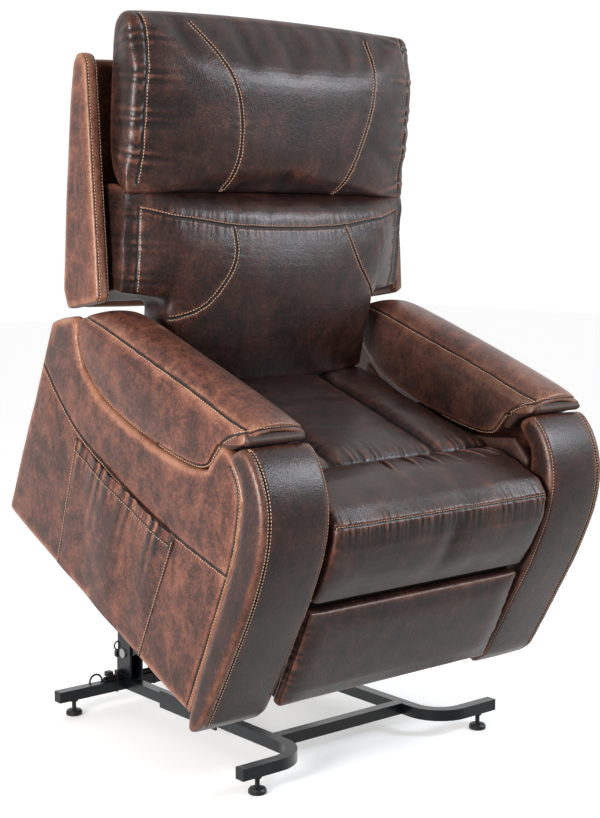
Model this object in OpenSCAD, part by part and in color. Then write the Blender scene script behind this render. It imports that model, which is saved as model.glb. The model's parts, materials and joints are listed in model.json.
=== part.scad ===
// Lift recliner chair, shown raised: a steel floor frame, a four-bar lift, and a padded chair on top.
// Units are millimetres. +Z is up, -Y is the front, +X is the right-hand side seen from the front.
// The origin is on the floor, at the centre of the raised chair's outline.
// Chair shapes are drawn as side profiles [forward, up], measured from the chair's lower rear corner.

/* [Overall] */
// Width over the two arms
chair_w = 940; // [900:10:980]
// Clear width between the arms
seat_w = 610; // [600:5:620]
// Forward tilt of the raised chair, degrees
tilt = 24; // [20:1:26]
// Height of the chair's lower rear corner above the floor when raised
rear_z = 499; // [480:1:520]
// Distance of that corner behind the origin
rear_y = 477; // [470:1:485]

/* [Floor frame] */
// Side of the square floor tube
tube = 25; // [22:1:28]
// Wall of the square floor tube
tube_wall = 2; // [1.5:0.5:3]
// Height of the tube centre above the floor
tube_z = 49.5; // [46:0.5:52]
// Distance of each side rail from the middle
rail_x = 187.5; // [180:0.5:190]
// Centre-line radius of the bend at the front of each rail
bend_r = 75; // [60:1:90]
// Half length of the front foot bar
front_reach = 357; // [340:1:370]
// Half length of the rear crossbar
rear_reach = 376; // [360:1:390]
// Depth position of the rear crossbar
rear_bar_y = 416; // [412:1:418]
// Depth position of the front crossbar
front_bar_y = -137.5; // [-150:0.5:-125]
// Depth position of the front foot bars
front_foot_y = -251; // [-260:1:-240]
// Diameter of a levelling foot
foot_d = 38; // [34:1:42]

/* [Lift] */
// Depth position of the two fixed pivots in each post
post_pivot_y = 404; // [402:1:406]
// Height of the lower fixed pivot
lower_pivot_z = 125.3; // [125:0.1:126]
// Height of the upper fixed pivot
upper_pivot_z = 266.9; // [266:0.1:268]
// Lower arm's pivot on the chair, forward
arm_f = 530; // [528:1:532]
// Lower arm's pivot on the chair, up
arm_h = 105; // [104:1:106]
// Upper link's pivot on the chair, forward
link_f = 510; // [508:1:512]
// Upper link's pivot on the chair, up
link_h = 180; // [179:1:181]
// Radius of the pivot pins in the posts
pin_r = 8; // [7:0.5:9]

/* [Upholstery] */
// Thickness of the outer side panels
side_t = 25; // [20:1:30]
// Corner radius of the padded profiles
pad_r = 12; // [8:1:16]
// Reach of the back wings beyond the middle
wing_x = 434; // [425:1:440]
// Thickness of the back wings
wing_t = 34; // [30:1:36]

/* [Hidden] */

$fn = 48;
RUN = 0.05;     // radial clearance of a running pivot
FIX = 0.4;      // gap between padded neighbours

half_w = chair_w / 2;
panel_x = half_w - 7;
arm_in = seat_w / 2;
tube_top = tube_z + tube / 2;
tube_low = tube_z - tube / 2;

STEEL = [0.07, 0.08, 0.10];
ZINC = [0.55, 0.56, 0.58];
BLACK = [0.04, 0.04, 0.045];
HIDE = [0.30, 0.15, 0.10];
HIDE_DARK = [0.20, 0.12, 0.10];
BOARD = [0.62, 0.48, 0.32];

// Pivots in the chair's profile plane, [forward, up]
ARM_PIVOT = [arm_f, arm_h];
LINK_PIVOT = [link_f, link_h];
RECLINE = [130, 400];
FOOT_A = [734, 250];
FOOT_B = [556, 164];
FOOT_C = [777, 106];
HEAD = [10, 800];
MOTOR_TOP = [540, 240];
MOTOR_FOOT = [389, 90];
back_lean = 18.4;

// Lever pins of the drives at rest
crank_turn = 208;
crank_len = 60;
FOOT_CRANK = FOOT_A + crank_len * [cos(crank_turn), sin(crank_turn)];
RECLINE_LEVER = RECLINE + 130 * [cos(246), sin(246)];
HEAD_ROLLER = HEAD - 55 * [cos(back_lean), sin(back_lean)];

// A profile point of the raised chair as world [y, z]
function raised(p) = [rear_y - p[0] * cos(tilt) - p[1] * sin(tilt),
    rear_z - p[0] * sin(tilt) + p[1] * cos(tilt)];
function span(a, b) = norm(b - a);
function slope(a, b) = atan2(b[1] - a[1], a[0] - b[0]);

LOWER = [post_pivot_y, lower_pivot_z];
UPPER = [post_pivot_y, upper_pivot_z];
arm_len = span(LOWER, raised(ARM_PIVOT));
arm_rise = slope(LOWER, raised(ARM_PIVOT));
link_len = span(UPPER, raised(LINK_PIVOT));
link_rise = slope(UPPER, raised(LINK_PIVOT));
motor_len = span(MOTOR_FOOT, raised(MOTOR_TOP));
motor_rise = slope(MOTOR_FOOT, raised(MOTOR_TOP));

// ---------- helpers ----------

module sided(side) {
    if (side < 0) mirror([1, 0, 0]) children();
    else children();
}

module pair() {
    children();
    mirror([1, 0, 0]) children();
}

// Places the raised chair
module chair() {
    translate([0, rear_y, rear_z]) rotate([tilt, 0, 0]) children();
}

// Extrudes a [forward, up] profile across the chair, from x to x + w
module slab(x, w) {
    translate([x + w, 0, 0]) rotate([90, 0, -90]) linear_extrude(w) children();
}

// A round bar across the chair at profile point p
module cross_bar(p, r, x, w) {
    translate([x, -p[0], p[1]]) rotate([0, 90, 0]) cylinder(r = r, h = w);
}

module soft(r = pad_r) {
    offset(r = r, $fn = 24) offset(delta = -r) children();
}

module square_ring(s, wall) {
    difference() {
        square(s, center = true);
        square(s - 2 * wall, center = true);
    }
}

// Square tube along +X, centred on the axis
module tube_x(len, s = tube, wall = tube_wall) {
    rotate([90, 0, 90]) linear_extrude(len) square_ring(s, wall);
}

// A flat bar from the origin towards the front (-Y), with a round boss at each end
module link_bar(len, t, high, boss, bore_a, bore_b) {
    difference() {
        union() {
            translate([-t / 2, -len, -high / 2]) cube([t, len, high]);
            for (y = [0, -len]) translate([-t / 2, y, 0]) rotate([0, 90, 0]) cylinder(r = boss, h = t);
        }
        translate([-t, 0, 0]) rotate([0, 90, 0]) cylinder(r = bore_a, h = 2 * t);
        translate([-t, -len, 0]) rotate([0, 90, 0]) cylinder(r = bore_b, h = 2 * t);
    }
}

// A link in the profile plane from p to q, with thickness t starting at x and a hole at p
module flat_link(p, q, x, t, wide, hole) {
    difference() {
        union() {
            translate([x, -p[0], p[1]]) rotate([atan2(q[1] - p[1], p[0] - q[0]), 0, 0])
                translate([0, 0, 2 - wide / 2]) cube([t, span(p, q), wide - 4]);
            cross_bar(p, wide / 2, x, t);
            cross_bar(q, wide / 2, x, t);
        }
        cross_bar(p, hole, x - 1, t + 2);
    }
}

// Motor housing and guide tube of a push drive, along +Y from the motor's rear face
module push_drive(body, guide, r) {
    difference() {
        union() {
            translate([-24, 0, -30]) cube([48, body, 60]);
            translate([0, 0, -30]) rotate([-90, 0, 0]) cylinder(r = 22, h = body);
            rotate([-90, 0, 0]) cylinder(r = r + 6, h = body + guide);
        }
        translate([0, 12, 0]) rotate([-90, 0, 0]) cylinder(r = r + RUN, h = body + guide);
    }
}

// Push rod with a slotted head: the head's rear face is at y = 0 and the rod runs to -Y
module slotted_rod(rod_len, r, head, t, slot_w, slot_h, drop) {
    difference() {
        union() {
            translate([0, -rod_len, 0]) rotate([-90, 0, 0]) cylinder(r = r, h = rod_len + 4);
            translate([-t / 2, 0, -drop - 6]) cube([t, head, slot_h + 12]);
        }
        translate([-t, (head - slot_w) / 2, -drop]) cube([2 * t, slot_w, slot_h]);
    }
}

// ---------- floor frame ----------

module base_rail(side) color(STEEL) sided(side) {
    bend_y = front_foot_y + bend_r;
    back_y = rear_bar_y - tube / 2;
    translate([rail_x, bend_y, tube_z]) rotate([0, 0, 90]) tube_x(back_y - bend_y);
    translate([rail_x + bend_r, bend_y, tube_z]) rotate([0, 0, 180])
        rotate_extrude(angle = 90) translate([bend_r, 0]) square_ring(tube, tube_wall);
    translate([rail_x + bend_r, front_foot_y, tube_z]) tube_x(front_reach - rail_x - bend_r);
}

module base_rail_left() base_rail(-1);
module base_rail_right() base_rail(1);

module front_crossbar() color(STEEL) {
    inside = rail_x - tube / 2;
    translate([-inside, front_bar_y, tube_z]) tube_x(2 * inside);
}

module rear_crossbar() color(STEEL)
    translate([-rear_reach, rear_bar_y, tube_z]) tube_x(2 * rear_reach);

// Moulded caps that close the four tube ends
module tube_end_caps() color(BLACK) pair() {
    plug = tube - 2 * tube_wall - 0.2;
    for (end = [[front_reach, front_foot_y], [rear_reach, rear_bar_y]])
        translate([end[0], end[1], tube_z]) {
            translate([0, -tube / 2, -tube / 2]) cube([3, tube, tube]);
            translate([-18, -plug / 2, -plug / 2]) cube([18, plug, plug]);
        }
}

module levelling_feet() color(BLACK) pair()
    for (spot = [[front_reach - 42, front_foot_y], [rear_reach - 41, rear_bar_y]])
        translate([spot[0], spot[1], 0]) rotate_extrude() union() {
            polygon([[0, 0], [foot_d / 2 - 2, 0], [foot_d / 2, 2], [foot_d / 2, 8],
                [foot_d / 2 - 3, 12], [9, 14], [0, 14]]);
            translate([0, 14]) square([5, tube_low - 14]);
            translate([0, tube_low - 5]) square([9, 5]);
        }

// U-shaped post with the two fixed pivots
module pivot_post(side) color(STEEL) sided(side) {
    wide = 36;
    wall = 4;
    top = 292;
    difference() {
        translate([rail_x - wide / 2, 376, tube_top]) cube([wide, 52, top - tube_top]);
        translate([rail_x - wide / 2 + wall, 375, tube_top + wall])
            cube([wide - 2 * wall, 53 - wall, top]);
        for (z = [lower_pivot_z, upper_pivot_z])
            translate([rail_x - wide, post_pivot_y, z]) rotate([0, 90, 0]) cylinder(r = pin_r, h = 2 * wide);
    }
}

module pivot_post_left() pivot_post(-1);
module pivot_post_right() pivot_post(1);

// Plates welded on the outer face of each rail, under the posts
module rail_brackets() color(STEEL) pair()
    translate([rail_x + tube / 2, 40, 30]) cube([5, 215, 40]);

// Pins with heads, pressed into the posts
module base_pivot_pins() color(ZINC) pair()
    for (z = [lower_pivot_z, upper_pivot_z])
        translate([rail_x - 22, post_pivot_y, z]) rotate([0, 90, 0]) {
            cylinder(r = pin_r, h = 44);
            cylinder(r = pin_r + 3, h = 4);
            translate([0, 0, 40]) cylinder(r = pin_r + 3, h = 4);
        }

module lift_motor_bracket() color(STEEL) {
    for (x = [-21, 16]) difference() {
        translate([x, MOTOR_FOOT[0] - 16, tube_low]) cube([5, 44, MOTOR_FOOT[1] + 14 - tube_low]);
        translate([-30, rear_bar_y - tube / 2, tube_low - 1]) cube([60, 60, tube + 1]);
    }
    translate([-24, MOTOR_FOOT[0], MOTOR_FOOT[1]]) rotate([0, 90, 0]) cylinder(r = 6, h = 48);
}

// Cable bundle strapped along the rear crossbar and round the left post, with two slack loops
module wiring_harness() color(BLACK) {
    y = rear_bar_y;
    behind = y + tube / 2 + 2.7;
    low = tube_top + 3.4;
    for (run = [[-254, -208], [-163, -26]], lay = [[-5, 3.4, 3.4], [2.5, 3.4, 3.4], [-1, 9.2, 2.4]])
        translate([run[0], y + lay[0], tube_top + lay[1]]) rotate([0, 90, 0])
            cylinder(r = lay[2], h = run[1] - run[0]);
    for (x = [-210, -161]) translate([x, y - 5, low]) rotate([-90, 0, 0]) cylinder(r = 3.4, h = 22);
    translate([-212, y + 16, low]) rotate([0, 90, 0]) cylinder(r = 3.4, h = 53);
    translate([-250, y + 2, low]) rotate([-90, 0, 0]) cylinder(r = 2.2, h = 12.5);
    translate([-266, behind, tube_top]) rotate([90, 0, 0]) rotate_extrude() translate([16.4, 0]) circle(2.2);
    translate([-203, behind, 138]) rotate([90, 0, 0]) rotate_extrude() translate([10, 0]) circle(1.8);
    translate([-203, behind, low]) cylinder(r = 2.4, h = 45);
}

// Plug bodies and cable ties
module harness_connectors() color(BLACK) {
    y = rear_bar_y;
    translate([-247, y - 8, tube_top + 12]) cube([15, 15, 11]);
    translate([-219, y - 6, tube_top + 12]) cube([12, 13, 9]);
    translate([-209, y + tube / 2 + 0.2, 111]) cube([12, 9, 15]);
    for (x = [-226, -120]) difference() {
        translate([x, y - tube / 2 - 1.4, tube_low - 1.4]) cube([4, tube + 2.8, tube + 14.4]);
        translate([x - 1, y - tube / 2, tube_low]) cube([6, tube, tube + 11.8]);
    }
}

// ---------- lift linkage ----------

module lift_arm(side) color(STEEL) sided(side)
    translate([rail_x, LOWER[0], LOWER[1]]) rotate([-arm_rise, 0, 0])
        link_bar(arm_len, 27.4, 34, 18, pin_r + RUN, 10);

module lift_arm_left() lift_arm(-1);
module lift_arm_right() lift_arm(1);

// Round shaft that joins the lower arms and turns in the chair's side plates
module lift_torque_shaft() color(ZINC) chair() cross_bar(ARM_PIVOT, 10, -236, 472);

module lift_link(side) color(STEEL) sided(side) {
    brace_at = 62;
    translate([rail_x, UPPER[0], UPPER[1]]) rotate([-link_rise, 0, 0]) {
        difference() {
            link_bar(link_len, 20, 28, 16, pin_r + RUN, 9);
            translate([-20, -brace_at, 0]) rotate([0, 90, 0]) cylinder(r = 10, h = 40);
        }
        translate([-12, -link_len, 0]) rotate([0, 90, 0]) cylinder(r = 9, h = 60);
    }
}

module lift_link_left() lift_link(-1);
module lift_link_right() lift_link(1);

module lift_link_brace() color(STEEL)
    translate([0, UPPER[0], UPPER[1]]) rotate([-link_rise, 0, 0])
        translate([-rail_x - 12, -62, 0]) rotate([0, 90, 0]) cylinder(r = 10, h = 2 * rail_x + 24);

// Gear motor and outer tube; the rod slides out of its front end
module lift_motor() color(BLACK)
    translate([0, MOTOR_FOOT[0], MOTOR_FOOT[1]]) rotate([-motor_rise, 0, 0]) difference() {
        union() {
            translate([-15.5, -40, -14]) cube([31, 40, 28]);
            translate([-15.5, 0, 0]) rotate([0, 90, 0]) cylinder(r = 14, h = 31);
            translate([-32, -115, -26]) cube([90, 80, 52]);
            translate([58, -75, 0]) rotate([90, 0, 0]) cylinder(r = 26, h = 130);
            translate([0, -100, 0]) rotate([90, 0, 0]) cylinder(r = 19, h = 340);
        }
        translate([-20, 0, 0]) rotate([0, 90, 0]) cylinder(r = 6 + RUN, h = 40);
        translate([0, -60, 0]) rotate([90, 0, 0]) cylinder(r = 11 + RUN, h = 400);
    }

module lift_rod() color(ZINC)
    translate([0, MOTOR_FOOT[0], MOTOR_FOOT[1]]) rotate([-motor_rise, 0, 0]) {
        translate([0, -motor_len + 12, 0]) rotate([90, 0, 180]) cylinder(r = 11, h = 340);
        translate([-9, -motor_len, 0]) rotate([0, 90, 0]) cylinder(r = 16, h = 18);
        translate([-19, -motor_len, 0]) rotate([0, 90, 0]) cylinder(r = 6, h = 38);
    }

// ---------- chair mechanism ----------

module side_plate(side) color(STEEL) chair() sided(side) difference() {
    slab(222, 6) soft(8) polygon([[80, 372], [110, 436], [150, 436], [190, 352], [262, 342],
        [775, 342], [775, 240], [750, 218], [690, 222], [600, 180], [570, 70], [495, 70], [470, 170],
        [420, 250], [280, 280], [120, 300]]);
    cross_bar(ARM_PIVOT, 10 + RUN, 200, 60);
    cross_bar(LINK_PIVOT, 9 + 4.2, 200, 60);
    cross_bar(FOOT_A, 12 + RUN, 200, 60);
    cross_bar(RECLINE, 8, 200, 60);
}

module side_plate_left() side_plate(-1);
module side_plate_right() side_plate(1);

// A square cross tube between the side plates, with its centre at profile point p
module cross_tube(p, s) {
    translate([-222, -p[0], p[1]]) rotate([90, 0, 90]) linear_extrude(444) square_ring(s, 2);
}

// Front cross tube with the two ears that take the lift rod's pin in oversize holes
module front_cross_tube() color(STEEL) chair() {
    cross_tube([545, 285], 28);
    for (x = [-17, 12]) difference() {
        slab(x, 5) polygon([[515, 214], [565, 214], [559, 271], [531, 271]]);
        cross_bar(MOTOR_TOP, 17, x - 1, 7);
    }
}

// Cross tube that carries the footrest and recline drives on two hangers
module drive_cross_tube() color(STEEL) chair() {
    cross_tube([402, 324], 24);
    translate([106, -414, 252]) cube([48, 24, 60]);
    translate([-154, -414, 306]) cube([48, 24, 6]);
}

module rear_cross_tube() color(STEEL) chair() cross_tube([205, 318], 24);

module recline_pins() color(ZINC) chair() pair() {
    cross_bar(RECLINE, 8, 218, 24);
    cross_bar(RECLINE, 12, 214, 4);
}

// Beech box that carries the springs and the seat
module seat_frame() color(BOARD) chair() {
    difference() {
        slab(-290, 580) polygon([[262, 342], [790, 342], [790, 372], [262, 372]]);
        slab(-262, 524) polygon([[290, 300], [762, 300], [762, 400], [290, 400]]);
    }
    pair() slab(229, arm_in - 229) polygon([[300, 318], [700, 318], [700, 342], [300, 342]]);
}

// One sinuous spring, drawn flat: cross wires joined by half turns on alternate sides
module sinuous_spring(turns, pitch, wire) {
    for (i = [0 : turns - 1]) translate([-i * pitch, 0]) {
        side = i % 2 == 0 ? 1 : -1;
        translate([0, 17 * side]) intersection() {
            difference() {
                circle((pitch + wire) / 2);
                circle((pitch - wire) / 2);
            }
            translate([-pitch, side > 0 ? 0 : -pitch]) square([2 * pitch, pitch]);
        }
        translate([(pitch - wire) / 2, -17]) square([wire, 34]);
    }
}

module seat_springs() color(ZINC) chair()
    for (x = [-180 : 120 : 180]) translate([x, -310, 364.5])
        rotate([0, 0, 90]) linear_extrude(3.5) sinuous_spring(13, 36, 3.5);

module recline_motor() color(BLACK) chair()
    translate([-130, -430, 276]) push_drive(85, 140, 8);

module footrest_motor() color(BLACK) chair()
    translate([130, -380, FOOT_CRANK[1]]) rotate([0, 0, 180]) push_drive(85, 183, 8);

// Control unit hung under the seat box, between the side plates
module control_box() color(BLACK) chair() translate([-60, -300, 304]) cube([120, 82, 38]);

// ---------- seat and arms ----------

module seat_cushion() color(HIDE_DARK) chair() slab(-arm_in + 4, seat_w - 8) soft()
    polygon([[206, 392], [262, 374], [794, 374], [792, 268], [841, 266], [850, 330], [853, 400],
        [838, 456], [800, 476], [640, 464], [500, 451], [369, 439], [262, 429], [212, 424]]);

module arm_side(side) color(HIDE) chair() sided(side) slab(panel_x - side_t, side_t) soft(5)
    polygon([[6, 0], [770, 0], [771, 359], [750, 476], [696, 527], [662, 539], [648, 505],
        [631, 467], [573, 443], [470, 424], [356, 413], [247, 415], [165, 442], [121, 487],
        [114, 515], [96, 524], [53, 500], [18, 475]]);

module arm_side_left() arm_side(-1);
module arm_side_right() arm_side(1);

// Inner arm board with the two spacers that join it to the outer panel
module arm_inner(side) color(HIDE_DARK) chair() sided(side) {
    slab(arm_in, 15) polygon([[200, 210], [768, 210], [770, 359], [745, 476], [690, 500], [629, 466],
        [573, 441], [470, 422], [356, 411], [247, 413], [200, 428]]);
    for (f = [360, 690]) slab(arm_in + 15, panel_x - side_t - arm_in - 15)
        polygon([[f, 214], [f + 20, 214], [f + 20, 405], [f, 405]]);
}

module arm_inner_left() arm_inner(-1);
module arm_inner_right() arm_inner(1);

// Curved front panel, which wraps over the top of the arm
module arm_front(side) color(HIDE_DARK) chair() sided(side) slab(arm_in, half_w - arm_in) soft(9)
    polygon([[776, 0], [816, 0], [826, 60], [838, 180], [847, 290], [845, 390], [830, 462],
        [800, 515], [758, 552], [715, 568], [702, 554], [696, 536], [745, 500], [768, 430], [776, 359]]);

module arm_front_left() arm_front(-1);
module arm_front_right() arm_front(1);

module arm_pad(side) color(HIDE) chair() sided(side) slab(arm_in, half_w - arm_in) soft(9)
    polygon([[122, 489], [166, 444], [247, 417], [356, 415], [470, 426], [573, 445], [628, 470],
        [644, 508], [656, 542], [690, 577], [715, 592], [712, 618], [675, 632], [444, 617],
        [207, 595], [136, 574], [112, 545]]);

module arm_pad_left() arm_pad(-1);
module arm_pad_right() arm_pad(1);

// Flat pocket sewn on the left side panel, open at the top
module side_pocket() color(HIDE) chair() mirror([1, 0, 0]) difference() {
    slab(panel_x, 6) polygon([[236, 4], [585, 4], [596, 298], [204, 298]]);
    slab(panel_x + 0.8, 4.4) polygon([[246, 14], [575, 14], [590, 320], [210, 320]]);
}

// ---------- footrest ----------

module footrest_drive_tube() color(ZINC) chair() {
    cross_bar(FOOT_A, 12, -236, 472);
    translate([112, -FOOT_A[0], FOOT_A[1]]) rotate([180 - crank_turn, 0, 0])
        translate([0, -15, -14]) cube([6, crank_len + 27, 28]);
    cross_bar(FOOT_CRANK, 6, 110, 30);
}

module footrest_inner_links() color(STEEL) chair() pair() {
    flat_link(FOOT_A, FOOT_B, 210, 6, 30, 12);
    cross_bar(FOOT_B, 6, 202.5, 15);
}

module footrest_outer_links() color(STEEL) chair() pair() {
    flat_link(FOOT_B, FOOT_C, 203, 6, 28, 6 + RUN);
    cross_bar(FOOT_C, 6, 204, 14);
}

// Plywood board with the two ears that the outer links carry
module footrest_board() color(BOARD) chair() {
    slab(-284, 568) polygon([[790, 24], [802, 24], [809, 250], [797, 250]]);
    pair() difference() {
        slab(210, 6) polygon([[794, 136], [775, 121], [764, 112], [764, 100], [775, 91], [791.5, 76]]);
        cross_bar(FOOT_C, 6 + RUN, 200, 30);
    }
}

module footrest_pad() color(HIDE_DARK) chair() slab(-arm_in + 5, seat_w - 10) soft(9)
    polygon([[802, 14], [834, 14], [840, 130], [841, 258], [809.5, 258]]);

module footrest_push_rod() color(ZINC) chair()
    translate([130, 20 - FOOT_CRANK[0], FOOT_CRANK[1]]) rotate([0, 0, 180])
        slotted_rod(200, 8, 40, 8, 22.4, 45.6, 38.8);

// ---------- back ----------

// Rear face of the back as a profile line, from the bottom up
BACK_LINE = [[20, 506], [-9, 535], [-72, 715], [-134, 913], [-157, 1009]];

module back_wing(side) color(HIDE) chair() sided(side) slab(wing_x - wing_t, wing_t) soft(8)
    polygon(concat(BACK_LINE, [[-152, 1032], [-128, 1040], [-100, 1022], [2, 808], [78, 667],
        [124, 580], [118, 566]]));

module back_wing_left() back_wing(-1);
module back_wing_right() back_wing(1);

module back_panel() color(HIDE) chair() slab(-wing_x + wing_t + FIX, 2 * (wing_x - wing_t - FIX))
    polygon(concat(BACK_LINE, [[-152, 1030], [-134, 1030], [-137, 1009], [-114, 916], [-52, 718],
        [10, 541], [34, 516]]));

// Places children in the leaning frame of the back, with +Z along its uprights
module back_plane(p) {
    translate([0, -p[0], p[1]]) rotate([-back_lean, 0, 0]) children();
}

// Welded frame behind the cushions, with the two headrest hinge brackets
module back_frame() color(STEEL) chair() {
    back_plane([36, 560]) {
        pair() translate([244, 0, -10]) linear_extrude(400) translate([12, 12]) square_ring(24, 2);
        translate([-245, 3, 370]) cube([490, 18, 16]);
        pair() for (bar = [[45, 52], [155, 180]])
            translate([bar[0], 3, bar[1]]) cube([245 - bar[0], 18, 16]);
    }
    pair() {
        slab(150, 10) polygon([[-50, 726], [-28, 732], [-40, 784], [-20, 792], [10, 792], [17, 796],
            [17, 804], [10, 808], [2, 807], [-4, 800], [-62, 800], [-66, 790]]);
        cross_bar(HEAD, 4, 144, 22);
    }
}

// Hinge arms from the recline pivots up to the back frame, with the drive's lever
module back_hinge_arms() color(STEEL) chair() {
    pair() difference() {
        slab(229, 6) polygon([[112, 388], [130, 382], [148, 390], [148, 410], [100, 470], [60, 530],
            [40, 600], [14, 596], [30, 540], [60, 460], [112, 408]]);
        cross_bar(RECLINE, 8 + RUN, 200, 60);
    }
    pair() slab(235, 9) polygon([[22, 562], [34, 562], [26, 590], [13, 590]]);
    cross_bar([82, 462], 9, -235, 470);
    slab(-114, 6) polygon([[68, 468], [96, 468], [92, 290], RECLINE_LEVER + [11, -8],
        RECLINE_LEVER + [-11, -8], [64, 290]]);
    cross_bar(RECLINE_LEVER, 6, -142, 30);
}

module recline_push_rod() color(ZINC) chair()
    translate([-130, -RECLINE_LEVER[0] - 18, 276]) slotted_rod(190, 8, 36, 8, 14.6, 26, 13);

module lumbar_cushion() color(HIDE_DARK) chair() {
    upper = [[150, 588], [152, 640], [146, 700], [134, 748], [118, 776], [90, 788], [20, 788],
        [-22, 772], [-6, 724], [54, 588]];
    lower = [[60, 590], [72, 560], [112, 480], [140, 448], [206, 436], [238, 436], [252, 448],
        [248, 500], [235, 560], [214, 630], [188, 700], [164, 748], [130, 776], [90, 740]];
    slab(-396, 792) soft() polygon(upper);
    slab(-296, 592) soft() polygon(lower);
}

module headrest_motor() color(BLACK) chair() back_plane(HEAD)
    translate([0, 55, -215]) rotate([90, 0, 0]) scale(0.5) push_drive(120, 120, 10);

module headrest_pillow() color(HIDE) chair() slab(-395, 790) soft()
    polygon([[14, 812], [80, 814], [92, 840], [86, 890], [64, 965], [34, 1050], [0, 1106],
        [-38, 1140], [-80, 1150], [-108, 1126], [-112, 1080], [-82, 985], [-34, 856]]);

// Steel plate that carries the pillow, with its hinge lugs and the drive's crank
module headrest_plate() color(STEEL) chair() {
    slab(-250, 500) polygon([[-39, 852], [-35, 851], [-84, 982], [-88, 982]]);
    pair() difference() {
        slab(140, 9.7) polygon([[-47, 872], [-43, 871], [-6, 811], [14, 807], [17, 800], [10, 793],
            [2, 797], [-14, 806], [-41, 846]]);
        cross_bar(HEAD, 4 + RUN, 130, 30);
    }
    slab(-4, 8) polygon([[-44, 868], [-39, 852], [-35, 782], [-49, 782], [-47, 856]]);
    cross_bar(HEAD_ROLLER, 8, -7, 14);
}

module headrest_push_rod() color(ZINC) chair() back_plane(HEAD)
    translate([0, 55, -195]) cylinder(r = 5, h = 186);

base_rail_left();
base_rail_right();
front_crossbar();
rear_crossbar();
tube_end_caps();
levelling_feet();
pivot_post_left();
pivot_post_right();
rail_brackets();
base_pivot_pins();
lift_motor_bracket();
wiring_harness();
harness_connectors();
lift_arm_left();
lift_arm_right();
lift_torque_shaft();
lift_link_left();
lift_link_right();
lift_link_brace();
lift_motor();
lift_rod();
side_plate_left();
side_plate_right();
front_cross_tube();
drive_cross_tube();
rear_cross_tube();
seat_frame();
seat_springs();
seat_cushion();
arm_side_left();
arm_side_right();
arm_inner_left();
arm_inner_right();
arm_front_left();
arm_front_right();
arm_pad_left();
arm_pad_right();
side_pocket();
recline_motor();
footrest_motor();
control_box();
recline_pins();
footrest_drive_tube();
footrest_inner_links();
footrest_outer_links();
footrest_board();
footrest_pad();
footrest_push_rod();
back_wing_left();
back_wing_right();
back_panel();
back_frame();
back_hinge_arms();
lumbar_cushion();
headrest_motor();
recline_push_rod();
headrest_pillow();
headrest_plate();
headrest_push_rod();
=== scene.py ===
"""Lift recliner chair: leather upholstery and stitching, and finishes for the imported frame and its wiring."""

import json
import math

import bmesh
import bpy
import numpy as np
from bpy.props import FloatProperty, FloatVectorProperty, IntProperty, PointerProperty
from mathutils import Matrix, Vector
from mathutils.bvhtree import BVHTree
from mathutils.kdtree import KDTree


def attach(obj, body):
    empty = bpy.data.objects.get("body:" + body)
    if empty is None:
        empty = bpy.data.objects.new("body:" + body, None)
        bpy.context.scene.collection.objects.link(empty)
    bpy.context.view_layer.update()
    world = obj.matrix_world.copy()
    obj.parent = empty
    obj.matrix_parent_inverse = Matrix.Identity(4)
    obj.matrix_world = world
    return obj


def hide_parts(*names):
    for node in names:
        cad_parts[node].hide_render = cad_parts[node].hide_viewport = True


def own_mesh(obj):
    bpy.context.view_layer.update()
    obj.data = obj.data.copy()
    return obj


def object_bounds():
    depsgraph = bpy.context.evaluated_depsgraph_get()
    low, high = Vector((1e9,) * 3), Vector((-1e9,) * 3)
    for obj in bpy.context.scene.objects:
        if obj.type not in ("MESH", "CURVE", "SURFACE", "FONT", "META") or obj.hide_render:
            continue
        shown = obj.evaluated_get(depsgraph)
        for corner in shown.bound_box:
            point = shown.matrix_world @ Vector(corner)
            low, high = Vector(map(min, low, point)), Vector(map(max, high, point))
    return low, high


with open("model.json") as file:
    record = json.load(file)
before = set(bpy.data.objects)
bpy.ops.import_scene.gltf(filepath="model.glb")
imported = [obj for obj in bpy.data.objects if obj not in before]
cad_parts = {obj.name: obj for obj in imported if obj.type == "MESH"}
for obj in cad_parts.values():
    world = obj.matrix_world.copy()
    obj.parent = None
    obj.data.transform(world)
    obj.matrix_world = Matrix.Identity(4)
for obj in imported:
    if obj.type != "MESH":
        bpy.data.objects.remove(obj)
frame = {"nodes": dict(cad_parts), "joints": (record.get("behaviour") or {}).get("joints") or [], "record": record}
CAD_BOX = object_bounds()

bl_info = {
    "name": "Lift Recliner Chair",
    "version": (1, 0, 0),
    "blender": (4, 5, 0),
    "location": "3D View > Sidebar > Recliner",
    "description": "Builds the leather upholstery, the wiring and the finishes of a lift recliner chair",
    "category": "Object",
}

MM = 0.001

# The chair is shaped level, in millimetres across, forward and up from its lower rear corner.
# Two of its pivots say where that corner is and how far the raised chair tips.
PIVOTS = {joint["name"]: Vector(joint["pos_m"]) for joint in frame["joints"] if "pos_m" in joint}
RECLINE_AT = (130, 400)
FOOTREST_AT = (734, 250)

# Pieces of the chair, in millimetres
ARM_IN = 305          # inner face of an arm
ARM_OUT = 470         # outer face of an arm
PANEL_OUT = 463       # outer face of a side panel
PANEL_IN = 438        # its inner face
WING_OUT = 434        # outer face of a back wing
WING_IN = 400         # its inner face
SEAT_HALF = 301       # half width of the seat cushion
SEAT_SEAM = 144       # the two lengthwise seams of the seat
BACK_SEAM = 364       # boxing seam of the back cushions
BACK_HALF = 396       # half width of the back cushions
REAR_LINE = [(20, 506), (-9, 535), (-72, 715), (-134, 913), (-157, 1009)]


def spot(x, f, h):
    """A point of the level chair, from millimetres across, forward and up."""
    return Vector((x * MM, -f * MM, h * MM))


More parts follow.
